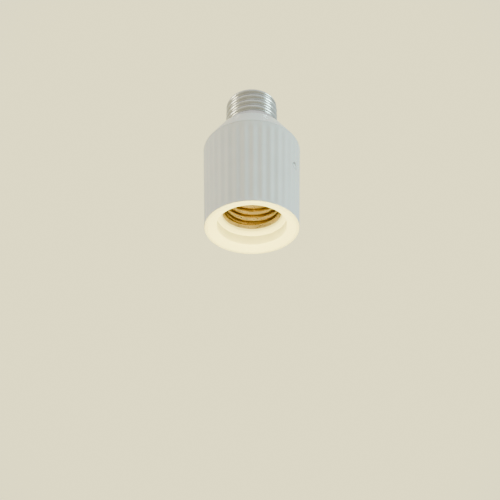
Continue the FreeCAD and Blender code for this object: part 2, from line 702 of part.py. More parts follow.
# The choke is a spool with its winding
choke_foot = rod("choke_foot", "choke_radius", "choke_flange", *CHOKE_PLACE, BOARD_TOP)
choke_head = rod(
    "choke_head", "choke_radius", "choke_flange", *CHOKE_PLACE,
    f"{BOARD_TOP} + choke_height - choke_flange",
)
choke_winding = rod(
    "choke_winding", "choke_radius - choke_groove", "choke_height", *CHOKE_PLACE, BOARD_TOP,
)
node(fused("suppression_choke", choke_foot, choke_head, choke_winding), "suppression_choke")

triac_body = centred_box("triac_body", "triac_width", "triac_length", "triac_height", TRIAC_PLACE)
triac_tab = centred_box("triac_tab_plate", "triac_width", "triac_tab", "triac_tab_thick", TAB_PLACE)
node(fused("power_triac", triac_body, triac_tab), "power_triac")

varistor_start = (f"{VARISTOR_PLACE[0]} - varistor_thick / 2", VARISTOR_PLACE[1])
laid_rod("surge_varistor", "varistor_radius", "varistor_thick", varistor_start, Vector(0, 1, 0), 90)
fuse_start = (FUSE_PLACE[0], f"{FUSE_PLACE[1]} - fuse_length / 2")
laid_rod("line_fuse", "fuse_radius", "fuse_length", fuse_start, Vector(1, 0, 0), -90)

node(centred_box("radio_board", "radio_length", "radio_thick", "radio_height", RADIO_PLACE), "radio_board")
shield_low = f"{BOARD_TOP} + (radio_height - shield_height) / 2"
node(
    centred_box("radio_shield", "shield_length", "shield_thick", "shield_height", SHIELD_PLACE, shield_low),
    "radio_shield",
)
node(rod("antenna_wire", "antenna_radius", "antenna_height", *ANTENNA_PLACE, BOARD_TOP), "antenna_wire")


# Leads from the lamp base to the board, and bare links from the board to the socket

def wire_tube(name, radius, points, bend):
    """A tube through straight runs joined by arcs that touch them."""
    path = []
    start = points[0]
    for before, corner, after in zip(points, points[1:], points[2:]):
        inward = (before - corner).normalize()
        onward = (after - corner).normalize()
        half_turn = (math.pi - inward.getAngle(onward)) / 2
        setback = bend * math.tan(half_turn)
        touch_in = corner + inward * setback
        touch_out = corner + onward * setback
        bisector = (inward + onward).normalize()
        middle = corner + bisector * (bend / math.cos(half_turn) - bend)
        path.append(Part.LineSegment(start, touch_in).toShape())
        path.append(Part.Arc(touch_in, middle, touch_out).toShape())
        start = touch_out
    path.append(Part.LineSegment(start, points[-1]).toShape())
    ring = Part.Circle(points[0], points[1] - points[0], radius)
    section = Part.Wire([ring.toShape()])
    tube = doc.addObject("Part::Feature", name)
    tube.Shape = Part.Wire(path).makePipeShell([section], True, False)
    tube.Placement = Placement()
    return node(tube, name)


lead_bend = number("lead_bend")
board_top = number(f"{BOARD_TOP} + fit_gap")
cap_ceiling = number(CAP_CEILING)
neck_top = number(NECK_TOP)
stem_foot = number(f"{GLASS_TOP} - contact_stem_length")
lead_radius = number("lead_radius")
solder_radius = number("base_radius - sheet - thread_depth - fit_gap - lead_radius")
neck_run = number(f"{neck_bore} - lead_clear - lead_radius")
solder_height = number("solder_height")
live_foot = number(f"{BOARD_RADIUS} / 10")
neutral_across = -number(f"{BOARD_RADIUS} / 6")
neutral_along = number(f"{BOARD_RADIUS} / 4")
wire_tube("live_lead", lead_radius, [
    Vector(0, live_foot, board_top),
    Vector(0, live_foot, cap_ceiling),
    Vector(0, 0, neck_top + number("lead_clear")),
    Vector(0, 0, stem_foot - number("fit_gap")),
], lead_bend)
wire_tube("neutral_lead", lead_radius, [
    Vector(neutral_across, neutral_along, board_top),
    Vector(neutral_across, neutral_along, cap_ceiling - lead_bend),
    Vector(-neck_run, 0, neck_top - lead_radius),
    Vector(-solder_radius, 0, neck_top + solder_height),
], lead_bend)


def link_wire(name, across):
    foot = f"{SOCKET_BASE_TOP} + rivet_head_thick"
    wire = rod(name, "link_radius", f"{BOARD_UNDER} - ({foot})", across, "0", foot)
    return node(wire, name)


link_wire("neutral_link", RIVET_CIRCLE)
link_wire("switched_link", f"-{CONTACT_RIVET}")

# Pairing button, its push switch and the upright board behind them

board_face = f"({LINER_OUTSIDE} + 3 * fit_gap + button_board_thick)"
switch_face = f"({board_face} + switch_thick)"
plunger_end = f"({switch_face} + plunger_reach)"
flange_start = f"({plunger_end} + fit_gap)"
flange_end = f"({flange_start} + button_flange)"

board_low = "(button_height - button_board_below)"
node(side_box(
    "button_board", "button_board_thick", "button_board_width", f"{BOARD_UNDER} - fit_gap - {board_low}",
    f"{board_face} - button_board_thick", board_low,
), "button_board")
switch_block = side_box(
    "switch_block", "switch_thick", "switch_side", "switch_side", board_face,
    "button_height - switch_side / 2",
)
plunger_hole = side_rod(
    "plunger_hole", "plunger_radius + fit_gap", f"{switch_face} - plunger_hole_depth",
    f"{switch_face} + fit_gap",
)
node(cut("push_switch", switch_block, plunger_hole), "push_switch")
node(side_rod(
    "switch_plunger", "plunger_radius", f"{switch_face} - plunger_hole_depth * 3 / 5", plunger_end,
), "switch_plunger")
button_flange = side_rod("button_flange_disc", "button_flange_radius", flange_start, flange_end)
button_stem = side_rod(
    "button_stem", "button_radius", flange_start, f"{BUTTON_RIDGE} - button_sink",
)
node(fused("pair_button", button_flange, button_stem), "pair_button")

doc.recompute()

# Every object has to be sound before anything is written
for thing in doc.Objects:
    if "Invalid" in thing.State or "Error" in thing.State:
        raise RuntimeError(f"{thing.Label} failed: {thing.State}")
for thing in nodes:
    if thing.Shape.isNull() or not thing.Shape.isValid():
        raise RuntimeError(f"{thing.Label} has no sound shape")

os.makedirs("parts", exist_ok=True)
for thing in nodes:
    thing.Shape.exportStep(f"parts/{thing.Label}.step")
    print(f"{thing.Label}: {len(thing.Shape.Solids)} solid, {thing.Shape.Volume:.1f} mm3")
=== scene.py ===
import math

import bmesh
import bpy
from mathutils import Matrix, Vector


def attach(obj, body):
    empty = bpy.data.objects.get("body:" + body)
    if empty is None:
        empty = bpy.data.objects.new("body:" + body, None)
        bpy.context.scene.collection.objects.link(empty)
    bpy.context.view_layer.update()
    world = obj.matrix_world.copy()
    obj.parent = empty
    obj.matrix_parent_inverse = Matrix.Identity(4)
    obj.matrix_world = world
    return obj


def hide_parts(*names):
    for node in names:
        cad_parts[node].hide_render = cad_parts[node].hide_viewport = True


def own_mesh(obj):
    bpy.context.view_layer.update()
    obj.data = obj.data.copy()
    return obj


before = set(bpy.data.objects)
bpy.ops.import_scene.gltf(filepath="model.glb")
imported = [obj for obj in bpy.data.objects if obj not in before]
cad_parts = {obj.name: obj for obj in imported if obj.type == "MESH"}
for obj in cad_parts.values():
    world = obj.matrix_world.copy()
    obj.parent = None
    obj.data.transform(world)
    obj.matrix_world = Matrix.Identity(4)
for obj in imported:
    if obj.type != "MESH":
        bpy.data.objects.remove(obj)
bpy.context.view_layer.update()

# The model is drawn here in millimetres, and MM turns them into the frame's metres.
MM = 0.001

# Housing, shared with the solids: radii, heights and walls
MOUTH_RIDGE = 21.65
SHOULDER_RIDGE = 23.7
SHOULDER = 45.0
SEAM = 44.4
BODY_WALL = 1.9
RIM = 20.25
BORE = 16.0
COLLAR = 17.6
FLOOR_TOP = 3.8
COLLAR_END = 6.8
SPIGOT_BORE = 18.2
SPIGOT_END = 41.3
CAP_INSIDE_TOP = 53.8
CAP_TOP = 56.0
NECK = 12.65
NECK_BORE = 10.45
NECK_TOP = 59.4

# Flutes
FLUTES = 36
FLUTE_DEPTH = 0.45
FLUTE_PHASE = 6.6
SECTORS = 10
RING_SIDES = FLUTES * SECTORS
FIRST_TURN = (FLUTE_PHASE - 90) % (360 / RING_SIDES)
# At the mouth the flutes run in, and under the cap's edge they run out again: from one height to
# the next, by this share of their depth
RUN_IN_HEIGHTS = [0.4, 0.7, 1.05, 1.4, 1.8, 2.2]
RUN_IN_SHARES = [0.12, 0.23, 0.27, 0.22, 0.11]
PLAIN_HEIGHTS = [2.2, 4.0, 9.0, 14.0, 19.0, 22.0, 25.0, 28.0, 31.0, 34.0, 37.0, 39.5]
RUN_OUT_HEIGHTS = [39.5, 40.5, 41.5, 42.4, 43.2, 43.8, SEAM - 0.12]
RUN_OUT_SHARES = [0.08, 0.2, 0.27, 0.25, 0.14, 0.06]
# The run-in presses this much of the depth in all, and the run-out takes the same out again
PRESSED_IN = 0.95

# Screw threads and sheet metal
PITCH = 3.629
SHEET = 0.35
BASE_CREST = 13.1
BASE_SWING = -0.9
SOCKET_CREST = 12.4
SOCKET_SWING = 0.93
THREAD_STEP = 0.24
SHELL_END = 77.4

# Glass and centre contact of the lamp base
STEM = 1.5
STEM_HOLE = 1.6
GLASS_UNDER = 74.45
GLASS_TOP = 80.4
CONTACT_TOP = 82.4

# Socket
LINER_BORE = 14.0
LINER_OUTSIDE = 15.5
FLANGE = 19.2
FLANGE_TOP = 8.4
LINER_END = 32.6
SCREW_BACK = 12.9
SCREW_END = 32.25
SCREW_END_HOLE = 8.27
SOCKET_BASE_TOP = 36.2
SHELL_RIVETS_OUT = 9.92
CONTACT_RIVET_OUT = 4.96
LEAF_THICK = 0.4
LEAF_HALF_WIDTH = 2.8
LEAF_TAIL_SHARE = 0.75

# Pairing button
BUTTON_FROM_X = -28.4
BUTTON_HEIGHT = 28.0
BUTTON = 1.35
BUTTON_HOLE = 1.5
RECESS = 2.0


def ridge(height):
    """Radius of the body over its ridges."""
    return MOUTH_RIDGE + (SHOULDER_RIDGE - MOUTH_RIDGE) * height / SHOULDER


# Modelling helpers

def nothing_selected():
    if bpy.context.mode != "OBJECT":
        bpy.ops.object.mode_set(mode="OBJECT")
    bpy.ops.object.select_all(action="DESELECT")


def only(piece):
    """Leaves this piece alone selected and active."""
    nothing_selected()
    piece.select_set(True)
    bpy.context.view_layer.objects.active = piece
    return piece


def start_ring(name, radius, height, sides, first=0.0, fill="NOTHING"):
    """A circle of edges, or a disc, left in edit mode with all of it selected."""
    nothing_selected()
    bpy.ops.mesh.primitive_circle_add(
        vertices=sides, radius=radius * MM, fill_type=fill,
        location=(0, 0, height * MM), rotation=(0, 0, math.radians(first)),
    )
    piece = bpy.context.object
    piece.name = name
    piece.data.name = name
    bpy.ops.object.transform_apply(location=True, rotation=True, scale=True)
    bpy.ops.object.mode_set(mode="EDIT")
    bpy.ops.mesh.select_mode(type="VERT")
    bpy.ops.mesh.select_all(action="SELECT")
    return piece


def draw_on(stops, solid=False):
    """Extrudes the selected ring from the first (radius, height) stop through the others."""
    for (radius, height), (next_radius, next_height) in zip(stops, stops[1:]):
        rise = (0, 0, (next_height - height) * MM)
        if solid:
            bpy.ops.mesh.extrude_region_move(TRANSFORM_OT_translate={"value": rise})
        else:
            bpy.ops.mesh.extrude_edges_move(TRANSFORM_OT_translate={"value": rise})
        scale = next_radius / radius
        centre = (0, 0, next_height * MM)
        bpy.ops.transform.resize(value=(scale, scale, 1), center_override=centre)


def merged(piece):
    """Closes the seams, turns the faces outwards and leaves edit mode."""
    bpy.ops.mesh.select_all(action="SELECT")
    bpy.ops.mesh.remove_doubles(threshold=0.002 * MM)
    bpy.ops.mesh.normals_make_consistent(inside=False)
    bpy.ops.object.mode_set(mode="OBJECT")
    return piece


def applied(piece, kind, **settings):
    """Adds a modifier, sets it and applies it."""
    only(piece)
    modifier = piece.modifiers.new(kind.lower(), kind)
    for name, value in settings.items():
        setattr(modifier, name, value)
    bpy.ops.object.modifier_apply(modifier=modifier.name)
    return piece


def rounded(piece, width, segments, angle):
    """Rounds the edges that are sharper than the angle."""
    return applied(
        piece, "BEVEL", width=width * MM, segments=segments, limit_method="ANGLE",
        angle_limit=math.radians(angle), use_clamp_overlap=True,
    )


def smooth(piece, angle):
    """Shades the faces smoothly across edges that are flatter than the angle."""
    only(piece)
    bpy.ops.object.shade_smooth_by_angle(angle=math.radians(angle))
    return piece


def turned_ring(name, stops, sides):
    """A closed ring of the section that the stops go round."""
    piece = start_ring(name, *stops[0], sides)
    draw_on(stops + stops[:1])
    return merged(piece)


def turned_solid(name, stops, sides):
    """A turned solid, closed by a disc at its first and last stops."""
    piece = start_ring(name, *stops[0], sides, fill="NGON")
    draw_on(stops, solid=True)
    return merged(piece)


def on_button_axis(piece):
    """Lays a piece that was turned about Z on the button's axis, its height becoming the way out."""
    only(piece)
    piece.rotation_euler = (0, math.radians(90), math.radians(BUTTON_FROM_X))
    piece.location = (0, 0, BUTTON_HEIGHT * MM)
    bpy.ops.object.transform_apply(location=True, rotation=True, scale=True)
    return piece


def dome(radius, height, top, steps=6):
    """Stops over a low dome that ends in a small disc."""
    stops = []
    for step in range(1, steps):
        turn = math.pi / 2 * step / steps
        stops.append((radius * math.cos(turn), height + (top - height) * math.sin(turn)))
    return stops + [(radius * 0.04, top)]


def rows(low, high, step):
    """Heights above low up to high, evenly spaced by about a step."""
    count = max(1, round((high - low) / step))
    return [low + (high - low) * row / count for row in range(1, count + 1)]


# Scales of the materials' patterns, for coordinates in metres
PLASTIC_CLOUDS = 90.0
PLASTIC_FLOW = 420.0
PLASTIC_GRAIN = 5200.0
METAL_STAINS = 260.0
METAL_MARKS = 1500.0
METAL_LINES = 3600.0
GLASS_WAVES = 240.0
GLASS_PITS = 2600.0
COPPER_RUNS = 330.0
BOARD_WEAVE = 1500.0
WIRE_TURNS = 420.0
PAPER_CLOUDS = 3.0
# The metal's lines are stretched round the axis, and this colour is painted shade laid over the thread's
# valleys
LINES_ROUND_AXIS = (0.06, 0.06, 1.0)
PAINTED_VALLEY_SHADE = (0.62, 0.6, 0.57)


# Material helpers: patterns read the object's own coordinates

def new_material(name):
    material = bpy.data.materials.new(name)
    material.use_nodes = True
    return material, material.node_tree.nodes, material.node_tree.links


def place(nodes, links, stretch=(1, 1, 1)):
    """Object coordinates, stretched by a Mapping node."""
    coordinates = nodes.new("ShaderNodeTexCoord")
    mapping = nodes.new("ShaderNodeMapping")
    mapping.inputs["Scale"].default_value = stretch
    links.new(coordinates.outputs["Object"], mapping.inputs["Vector"])
    return mapping.outputs["Vector"]


def noise(nodes, links, where, scale, detail, rough=0.5):
    texture = nodes.new("ShaderNodeTexNoise")
    texture.inputs["Scale"].default_value = scale
    texture.inputs["Detail"].default_value = detail
    texture.inputs["Roughness"].default_value = rough
    links.new(where, texture.inputs["Vector"])
    return texture.outputs["Fac"]


def ramp(nodes, links, value, low, high, start=0.35, end=0.65):
    """A colour that goes from low to high as the value does."""
    colours = nodes.new("ShaderNodeValToRGB")
    colours.color_ramp.elements[0].position = start
    colours.color_ramp.elements[1].position = end
    colours.color_ramp.elements[0].color = (*low, 1)
    colours.color_ramp.elements[1].color = (*high, 1)
    links.new(value, colours.inputs["Fac"])
    return colours.outputs["Color"]


def spread(nodes, links, value, low, high):
    """The value mapped to a range."""
    reach = nodes.new("ShaderNodeMapRange")
    reach.inputs["From Min"].default_value = 0.3
    reach.inputs["From Max"].default_value = 0.7
    reach.inputs["To Min"].default_value = low
    reach.inputs["To Max"].default_value = high
    links.new(value, reach.inputs["Value"])
    return reach.outputs["Result"]


def bump(nodes, links, value, depth, strength, below=None):
    """Relief of a depth in millimetres, on top of another relief where one is given."""
    relief = nodes.new("ShaderNodeBump")
    relief.inputs["Distance"].default_value = depth * MM
    relief.inputs["Strength"].default_value = strength
    links.new(value, relief.inputs["Height"])
    if below:
        links.new(below, relief.inputs["Normal"])
    return relief.outputs["Normal"]


def moulded(name, low, high, rough, grain=1.0, sss=0.0):
    """Injection moulded plastic: a faint cloud in its colour, spark-eroded grain and soft gloss."""
    material, nodes, links = new_material(name)
    shader = nodes["Principled BSDF"]
    where = place(nodes, links)
    cloud = noise(nodes, links, where, PLASTIC_CLOUDS, 4.0)
    fine = noise(nodes, links, where, PLASTIC_GRAIN, 2.0)
    flow = noise(nodes, links, where, PLASTIC_FLOW, 3.0)
    links.new(ramp(nodes, links, cloud, low, high), shader.inputs["Base Color"])
    links.new(spread(nodes, links, flow, rough - 0.04, rough + 0.05), shader.inputs["Roughness"])
    wide = bump(nodes, links, flow, 0.02, 0.12 * grain)
    links.new(bump(nodes, links, fine, 0.012, 0.22 * grain, wide), shader.inputs["Normal"])
    shader.inputs["Specular IOR Level"].default_value = 0.5
    shader.inputs["Subsurface Weight"].default_value = sss
    shader.inputs["Subsurface Scale"].default_value = 0.0012
    return material


def paint_valley_shade(nodes, links, colour, valley, crest):
    """Paints shade into a colour between the thread's crests: darkest at the valley's radius, gone at the
    crest's.
    """
    distance = nodes.new("ShaderNodeVectorMath")
    distance.operation = "LENGTH"
    links.new(place(nodes, links, (1, 1, 0)), distance.inputs[0])
    reach = nodes.new("ShaderNodeMapRange")
    reach.inputs["From Min"].default_value = valley * MM
    reach.inputs["From Max"].default_value = crest * MM
    links.new(distance.outputs["Value"], reach.inputs["Value"])
    shaded = nodes.new("ShaderNodeMix")
    shaded.data_type = "RGBA"
    shaded.blend_type = "MULTIPLY"
    shaded.inputs["Factor"].default_value = 1.0
    shaded.inputs["A"].default_value = (*PAINTED_VALLEY_SHADE, 1)
    links.new(colour, shaded.inputs["B"])
    blend = nodes.new("ShaderNodeMix")
    blend.data_type = "RGBA"
    links.new(reach.outputs["Result"], blend.inputs["Factor"])
    links.new(shaded.outputs["Result"], blend.inputs["A"])
    links.new(colour, blend.inputs["B"])
    return blend.outputs["Result"]


def drawn_metal(name, low, high, rough, streak=1.0, valleys=None):
    """Rolled or turned sheet metal: streaks round the axis, small stains and handling marks, and painted
    shade in a thread's valleys where their radii are given.
    """
    material, nodes, links = new_material(name)
    shader = nodes["Principled BSDF"]
    shader.inputs["Metallic"].default_value = 1.0
    where = place(nodes, links)
    lines = noise(nodes, links, place(nodes, links, LINES_ROUND_AXIS), METAL_LINES, 2.0)
    stain = noise(nodes, links, where, METAL_STAINS, 6.0, 0.62)
    marks = noise(nodes, links, where, METAL_MARKS, 3.0, 0.55)
    colour = ramp(nodes, links, stain, low, high, 0.32, 0.6)
    # Painted shade in the thread's valleys, where their radii are given
    if valleys:
        colour = paint_valley_shade(nodes, links, colour, *valleys)
    links.new(colour, shader.inputs["Base Color"])
    links.new(spread(nodes, links, marks, rough - 0.06, rough + 0.12), shader.inputs["Roughness"])
    shallow = bump(nodes, links, marks, 0.006, 0.05)
    links.new(bump(nodes, links, lines, 0.006, 0.1 * streak, shallow), shader.inputs["Normal"])
    return material


def fused_glass(name):
    """Black fused glass: nearly even, with slow waves and a few small pits."""
    material, nodes, links = new_material(name)
    shader = nodes["Principled BSDF"]
    where = place(nodes, links)
    waves = noise(nodes, links, where, GLASS_WAVES, 3.0)
    pits = noise(nodes, links, where, GLASS_PITS, 2.0)
    colour = ramp(nodes, links, waves, (0.008, 0.008, 0.011), (0.022, 0.021, 0.026))
    links.new(colour, shader.inputs["Base Color"])
    links.new(spread(nodes, links, pits, 0.06, 0.2), shader.inputs["Roughness"])
    links.new(bump(nodes, links, waves, 0.06, 0.35), shader.inputs["Normal"])
    shader.inputs["Specular IOR Level"].default_value = 0.6
    return material


def green_board(name):
    """Circuit board: copper runs showing through the green mask over a fine weave."""
    material, nodes, links = new_material(name)
    shader = nodes["Principled BSDF"]
    where = place(nodes, links)
    runs = nodes.new("ShaderNodeTexBrick")
    runs.inputs["Scale"].default_value = COPPER_RUNS
    runs.inputs["Mortar Size"].default_value = 0.09
    runs.inputs["Mortar Smooth"].default_value = 0.2
    runs.inputs["Color1"].default_value = (0.012, 0.09, 0.035, 1)
    runs.inputs["Color2"].default_value = (0.02, 0.12, 0.045, 1)
    runs.inputs["Mortar"].default_value = (0.05, 0.22, 0.08, 1)
    links.new(where, runs.inputs["Vector"])
    weave = nodes.new("ShaderNodeTexWave")
    weave.inputs["Scale"].default_value = BOARD_WEAVE
    weave.inputs["Distortion"].default_value = 0.6
    links.new(where, weave.inputs["Vector"])
    links.new(runs.outputs["Color"], shader.inputs["Base Color"])
    links.new(spread(nodes, links, weave.outputs["Fac"], 0.28, 0.4), shader.inputs["Roughness"])
    raised = bump(nodes, links, runs.outputs["Fac"], 0.03, 0.4)
    links.new(bump(nodes, links, weave.outputs["Fac"], 0.01, 0.2, raised), shader.inputs["Normal"])
    return material


def wound_wire(name):
    """Enamelled wire wound round the spool, with painted shade in the grooves between its turns."""
    material, nodes, links = new_material(name)
    shader = nodes["Principled BSDF"]
    turns = nodes.new("ShaderNodeTexWave")
    turns.bands_direction = "Z"
    turns.inputs["Scale"].default_value = WIRE_TURNS
    turns.inputs["Distortion"].default_value = 0.4
    links.new(place(nodes, links), turns.inputs["Vector"])
    wire = turns.outputs["Fac"]
    # The dark end of this colour is painted shade in the grooves between the turns
    colour = ramp(nodes, links, wire, (0.02, 0.018, 0.018), (0.2, 0.09, 0.04), 0.2, 0.8)
    links.new(colour, shader.inputs["Base Color"])
    links.new(spread(nodes, links, wire, 0.35, 0.55), shader.inputs["Roughness"])
    links.new(bump(nodes, links, wire, 0.1, 0.6), shader.inputs["Normal"])
    return material


def studio_paper(name):
    """Matt floor paper with a faint cloud in its colour."""
    material, nodes, links = new_material(name)
    shader = nodes["Principled BSDF"]
    cloud = noise(nodes, links, place(nodes, links), PAPER_CLOUDS, 2.0)
    colour = ramp(nodes, links, cloud, (0.50, 0.49, 0.455), (0.52, 0.51, 0.475))
    links.new(colour, shader.inputs["Base Color"])
    shader.inputs["Roughness"].default_value = 0.9
    return material


# Finishes of the adapter

white_body = moulded("white_satin_plastic", (0.70, 0.70, 0.685), (0.735, 0.735, 0.72), 0.36, 1.0, 0.05)
white_button = moulded("button_plastic", (0.72, 0.73, 0.73), (0.76, 0.77, 0.77), 0.3, 0.8, 0.05)
white_liner = moulded("liner_plastic", (0.70, 0.69, 0.65), (0.74, 0.73, 0.69), 0.42, 1.2)
# The plated base gets painted shade in its thread's valleys, between the last two radii
plated = drawn_metal("nickel_plated_sheet", (0.56, 0.55, 0.53), (0.66, 0.655, 0.64), 0.2, 1.0, (12.1, 12.8))
# The socket's brass is darker than bare brass: its stains are its own colour, and the rest of the darkening
# is painted shade for the inside of the socket
socket_brass_painted_shade = drawn_metal("socket_brass_sheet_painted_shade", (0.31, 0.23, 0.12), (0.41, 0.315, 0.175), 0.3)
spring_metal = drawn_metal("phosphor_bronze", (0.56, 0.40, 0.22), (0.7, 0.54, 0.33), 0.28, 0.6)
solder_metal = drawn_metal("solder", (0.42, 0.42, 0.41), (0.6, 0.6, 0.59), 0.4, 0.2)
tinned_metal = drawn_metal("tinned_steel", (0.5, 0.5, 0.5), (0.62, 0.62, 0.62), 0.32, 0.5)
tinned_wire = drawn_metal("tinned_copper", (0.52, 0.49, 0.45), (0.64, 0.61, 0.57), 0.34, 0.4)
black_glass = fused_glass("black_fused_glass")
brown_thermoset = moulded("brown_thermoset", (0.10, 0.055, 0.03), (0.14, 0.08, 0.045), 0.38, 1.6)
board_green = green_board("green_circuit_board")
capacitor_yellow = moulded("yellow_box", (0.62, 0.42, 0.05), (0.7, 0.5, 0.08), 0.33)
capacitor_sleeve = moulded("shrunk_sleeve", (0.02, 0.03, 0.08), (0.03, 0.045, 0.11), 0.28, 0.7)
choke_winding = wound_wire("choke_winding")
package_black = moulded("black_package", (0.018, 0.018, 0.02), (0.032, 0.032, 0.035), 0.46, 1.8)
varistor_blue = moulded("blue_dip", (0.02, 0.08, 0.34), (0.035, 0.11, 0.42), 0.26, 1.4)
fuse_ceramic = moulded("fuse_ceramic", (0.66, 0.63, 0.57), (0.73, 0.71, 0.65), 0.5, 1.5)
black_lead = moulded("black_insulation", (0.012, 0.012, 0.012), (0.026, 0.026, 0.026), 0.4, 0.8)
white_lead = moulded("white_insulation", (0.66, 0.66, 0.64), (0.72, 0.72, 0.7), 0.4, 0.8)

NODE_FINISHES = {
    "body_shell": white_body, "top_cap": white_body, "pair_button": white_button,
    "socket_liner": white_liner, "base_shell": plated, "socket_shell": socket_brass_painted_shade,
    "base_insulator": black_glass, "base_contact": solder_metal, "socket_base": brown_thermoset,
    "shell_rivets": socket_brass_painted_shade, "contact_rivet": socket_brass_painted_shade, "contact_spring": spring_metal,
    "contact_tip": spring_metal, "control_board": board_green, "film_capacitor": capacitor_yellow,
    "smoothing_capacitor": capacitor_sleeve, "suppression_choke": choke_winding,
    "power_triac": package_black, "surge_varistor": varistor_blue, "line_fuse": fuse_ceramic,
    "radio_board": board_green, "radio_shield": tinned_metal, "antenna_wire": tinned_wire,
    "live_lead": black_lead, "neutral_lead": white_lead, "neutral_link": tinned_wire,
    "switched_link": tinned_wire, "button_board": board_green, "push_switch": package_black,
    "switch_plunger": package_black,
}


def finish_with(thing, material):
    """Gives a mesh one material in all of its slots."""
    thing.data.materials.clear()
    thing.data.materials.append(material)
    return thing


def fitted(piece, material, slot, body, *nodes):
    """Finishes a piece, hides the model's parts for the nodes it stands for, and puts it on its body. The
    slot is not used.
    """
    finish_with(piece, material)
    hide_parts(*nodes)
    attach(piece, body)
    return piece


for node_name, finish in NODE_FINISHES.items():
    finish_with(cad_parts[node_name], finish)


# Body: the fluted cup

def pick(vertices):
    """Leaves only these vertices selected, in edit mode."""
    mesh = bmesh.from_edit_mesh(bpy.context.object.data)
    wanted = {vertex.index for vertex in vertices}
    for vertex in mesh.verts:
        vertex.select_set(vertex.index in wanted)
    mesh.select_flush_mode()
    bmesh.update_edit_mesh(bpy.context.object.data)


def press_flutes(radius, depth):
    """Presses the flutes' valleys into the selected ring, or a negative depth takes them out of it."""
    mesh = bmesh.from_edit_mesh(bpy.context.object.data)
    mesh.verts.index_update()
    mesh.verts.ensure_lookup_table()
    ring = [vertex.index for vertex in mesh.verts if vertex.select]
    height = mesh.verts[ring[0]].co.z
    steps = {}
    for index in ring:
        spot = mesh.verts[index].co
        turn = math.degrees(math.atan2(spot.y, spot.x)) - (FLUTE_PHASE - 90)
        steps.setdefault(round(turn * RING_SIDES / 360) % SECTORS, []).append(index)
    for step, members in steps.items():
        share = (0.5 + 0.5 * math.cos(2 * math.pi * step / SECTORS)) ** 0.85
        mesh = bmesh.from_edit_mesh(bpy.context.object.data)
        mesh.verts.ensure_lookup_table()
        pick([mesh.verts[index] for index in members])
        if depth > 0:
            scale = (radius - depth * share) / radius
        else:
            scale = radius / (radius + depth * share)
        bpy.ops.transform.resize(value=(scale, scale, 1), center_override=(0, 0, height))
    mesh = bmesh.from_edit_mesh(bpy.context.object.data)
    mesh.verts.ensure_lookup_table()
    pick([mesh.verts[index] for index in ring])


def run_flutes(heights, shares, depth):
    """Draws the ring on through the heights and presses the flutes in or out by the shares."""
    for low, high, share in zip(heights, heights[1:], shares):
        draw_on([(ridge(low), low), (ridge(high), high)])
        press_flutes(ridge(high), depth * share)


def fluted_body():
    """The cup: soft flutes outside, a plain cavity inside, the sloping mouth face and the collar."""
    piece = start_ring("fluted_body", RIM, 0.0, RING_SIDES, FIRST_TURN)
    draw_on([
        (RIM, 0.0), (20.5, 0.0), (20.9, 0.0), (21.15, 0.03), (ridge(0.14) - 0.12, 0.14), (ridge(0.4), 0.4),
    ])
    run_flutes(RUN_IN_HEIGHTS, RUN_IN_SHARES, FLUTE_DEPTH)
    draw_on([(ridge(height), height) for height in PLAIN_HEIGHTS])
    run_flutes(RUN_OUT_HEIGHTS, RUN_OUT_SHARES, -FLUTE_DEPTH * PRESSED_IN)
    cavity = [
        (ridge(SEAM - 0.12), SEAM - 0.12), (ridge(SEAM) - 0.1, SEAM), (ridge(SEAM) - BODY_WALL, SEAM),
        (ridge(24.0) - BODY_WALL, 24.0), (ridge(FLOOR_TOP) - BODY_WALL, FLOOR_TOP),
    ]
    collar = [(COLLAR, FLOOR_TOP), (COLLAR, COLLAR_END), (BORE, COLLAR_END), (BORE, 2.05)]
    mouth = [(16.12, 1.86), (16.4, 1.72), (18.0, 0.98), (19.6, 0.28), (20.0, 0.06), (RIM, 0.0)]
    draw_on(cavity + collar + mouth)
    return merged(piece)


def button_cutter():
    """The tool that sinks the recess and the hole for the button."""
    hole = [(BUTTON_HOLE, 18.5), (BUTTON_HOLE, 21.95), (1.58, 22.03)]
    recess = [(1.92, 22.03), (RECESS, 22.11), (RECESS, 22.62)]
    lip = [(2.04, 22.74), (2.14, 22.86), (2.4, 23.02), (3.4, 23.5)]
    return on_button_axis(turned_solid("button_cutter", hole + recess + lip, 72))


body = fluted_body()
cutter = button_cutter()
applied(body, "BOOLEAN", operation="DIFFERENCE", object=cutter, solver="EXACT")
bpy.data.objects.remove(cutter)
fitted(smooth(body, 40), white_body, "white_plastic", "housing", "body_shell")


# Cap: spigot, smooth cone and neck

def smooth_cap():
    spigot = [(SPIGOT_BORE, SPIGOT_END), (21.5, SPIGOT_END), (21.65, 41.45), (21.67, SEAM)]
    edge = [(23.55, SEAM), (23.67, 44.5), (SHOULDER_RIDGE, 44.75), (23.68, 44.98), (23.55, 45.25)]
    cone = [(22.2, 47.45), (20.0, 51.0), (18.0, 54.22)]
    top = [(17.3, 55.35), (17.05, 55.7), (16.75, 55.93), (16.3, CAP_TOP), (14.0, CAP_TOP), (12.95, CAP_TOP)]
    neck = [(NECK, 56.2), (NECK, 59.2), (12.45, NECK_TOP), (10.6, NECK_TOP), (NECK_BORE, 59.2)]
    hollow = [(NECK_BORE, 53.9), (10.6, CAP_INSIDE_TOP), (15.5, CAP_INSIDE_TOP)]
    slope = [(17.6, 50.2), (SPIGOT_BORE, 49.4)]
    stops = spigot + edge + cone + top + neck + hollow + slope
    return smooth(turned_ring("smooth_cap", stops, 180), 50)


fitted(smooth_cap(), white_body, "white_plastic", "housing", "top_cap")


# Lamp base: rolled thread, glass, contact

def fade(value, start, end):
    """0 before start, 1 after end, eased between them."""
    share = min(1.0, max(0.0, (value - start) / (end - start)))
    return share * share * (3 - 2 * share)


